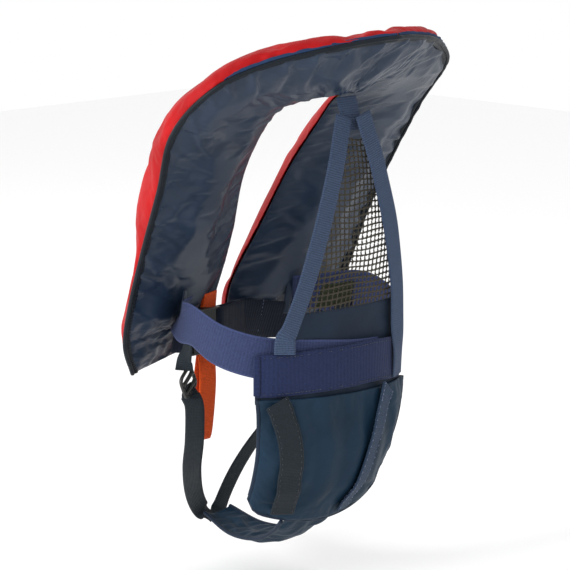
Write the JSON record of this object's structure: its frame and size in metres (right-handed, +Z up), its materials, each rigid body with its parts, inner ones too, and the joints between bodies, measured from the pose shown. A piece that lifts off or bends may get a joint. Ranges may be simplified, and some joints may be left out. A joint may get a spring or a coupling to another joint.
{
  "type": "inflatable life jacket",
  "caption": "Child's inflatable life jacket: horseshoe collar with folded bladder, chest belt with release buckle, net back yoke, seat panel and crotch straps.",
  "frame": {"origin": "on the axis of the wearer's torso, at the height of the middle of the front belt", "axes": "+Z up when worn, +X the wearer's left, -Y the front"},
  "size_m": [0.3496, 0.2835, 0.5361],
  "materials": {
    "red_cover": "woven polyester, matt",
    "navy_lining": "coated nylon with a soft sheen",
    "blue_closure": "hook-and-loop flap, matt",
    "belt_webbing": "woven webbing",
    "yoke_webbing": "ribbed webbing",
    "net": "knotless net",
    "label_cloth": "plain satin tape",
    "black_webbing": "woven webbing",
    "orange_webbing": "woven webbing",
    "black_plastic": "moulded acetal",
    "yellow_plastic": "moulded",
    "red_plastic": "moulded",
    "orange_plastic": "moulded",
    "steel": "zinc-plated steel",
    "bladder_cloth": "coated nylon"
  },
  "bodies": {
    "root": {"cover_left": "red_cover", "cover_right": "red_cover", "lining_left": "navy_lining", "lining_right": "navy_lining", "outer_piping": "navy_lining", "yoke_tab": "navy_lining", "yoke_base": "navy_lining", "seat_panel": "navy_lining", "crotch_pad": "navy_lining", "closure_strip_left": "blue_closure", "closure_strip_right": "blue_closure", "back_belt": "belt_webbing", "front_belt_right": "belt_webbing", "front_belt_left": "belt_webbing", "belt_sleeve": "belt_webbing", "yoke_strap_left": "yoke_webbing", "yoke_strap_right": "yoke_webbing", "yoke_mesh": "net", "blank_label": "label_cloth", "seat_strap_left": "black_webbing", "seat_strap_right": "black_webbing", "crotch_strap_left": "black_webbing", "crotch_strap_right": "black_webbing", "lock_hanger_left": "black_webbing", "lock_hanger_right": "black_webbing", "lifting_anchor": "orange_webbing", "buckle_female": "black_plastic", "inflator_body": "black_plastic", "oral_tube": "black_plastic", "salt_bobbin": "yellow_plastic", "bladder": "bladder_cloth"},
    "buckle_male": {"buckle_male": "black_plastic", "adjuster_web": "belt_webbing"},
    "prong_upper": {"prong_upper": "black_plastic"},
    "prong_lower": {"prong_lower": "black_plastic"},
    "ladder_lock_left": {"ladder_lock_left": "black_plastic"},
    "ladder_lock_right": {"ladder_lock_right": "black_plastic"},
    "lifting_strap": {"lifting_strap": "orange_webbing"},
    "inflator_lever": {"inflator_lever": "red_plastic"},
    "firing_pin": {"firing_pin": "steel"},
    "co2_cylinder": {"co2_cylinder": "steel"},
    "capsule_cap": {"capsule_cap": "yellow_plastic"},
    "dust_cap": {"dust_cap": "yellow_plastic"},
    "oral_valve": {"oral_valve": "yellow_plastic"},
    "whistle": {"whistle": "orange_plastic"}
  },
  "joints": [
    {"name": "buckle_release", "type": "slide", "parent": "root", "child": "buckle_male", "axis": [-1, 0, 0], "range_m": [0, 0.022]},
    {"name": "prong_upper_press", "type": "hinge", "parent": "buckle_male", "child": "prong_upper", "pos_m": [0.0386, -0.071, 0.013], "axis": [0, 1, 0], "range_deg": [0, 10], "stiffness_Nm_per_rad": 0.05},
    {"name": "prong_lower_press", "type": "hinge", "parent": "buckle_male", "child": "prong_lower", "pos_m": [0.0386, -0.071, -0.013], "axis": [0, -1, 0], "range_deg": [0, 10], "stiffness_Nm_per_rad": 0.05},
    {"name": "ladder_lock_left_tilt", "type": "hinge", "parent": "root", "child": "ladder_lock_left", "pos_m": [0.11251, -0.03151, -0.02588], "axis": [0.5392, -0.5392, -0.647], "range_deg": [-25, 25]},
    {"name": "ladder_lock_right_tilt", "type": "hinge", "parent": "root", "child": "ladder_lock_right", "pos_m": [-0.11251, -0.03151, -0.02588], "axis": [-0.5392, -0.5392, -0.647], "range_deg": [-25, 25]},
    {"name": "lifting_strap_swing", "type": "hinge", "parent": "root", "child": "lifting_strap", "pos_m": [0.028, -0.083, -0.024], "axis": [1, 0, 0], "range_deg": [-35, 35]},
    {"name": "inflator_lever_pull", "type": "hinge", "parent": "root", "child": "inflator_lever", "pos_m": [-0.06843, -0.09293, 0.07073], "axis": [-0.1461, -0.9102, 0.3877], "range_deg": [0, 85]},
    {"name": "firing_pin_strike", "type": "slide", "parent": "root", "child": "firing_pin", "axis": [0.0529, 0.3841, 0.9218], "range_m": [0, 0.004]},
    {"name": "co2_cylinder_unscrew", "type": "slide", "parent": "root", "child": "co2_cylinder", "axis": [0.0529, 0.3841, 0.9218], "range_m": [0, 0.012]},
    {"name": "capsule_cap_unscrew", "type": "slide", "parent": "root", "child": "capsule_cap", "axis": [-0.0529, -0.3841, -0.9218], "range_m": [0, 0.008]},
    {"name": "dust_cap_pull", "type": "slide", "parent": "root", "child": "dust_cap", "axis": [-0.0529, 0.3841, 0.9218], "range_m": [0, 0.014]},
    {"name": "oral_valve_press", "type": "slide", "parent": "root", "child": "oral_valve", "axis": [0.0529, -0.3841, -0.9218], "range_m": [0, 0.002], "stiffness_N_per_m": 200},
    {"name": "whistle_draw", "type": "slide", "parent": "root", "child": "whistle", "axis": [-0.0529, 0.3841, 0.9218], "range_m": [0, 0.02]}
  ],
  "couplings": [
    {"joint": "firing_pin_strike", "follows": "inflator_lever_pull", "m_per_rad": 0.0026}
  ]
}
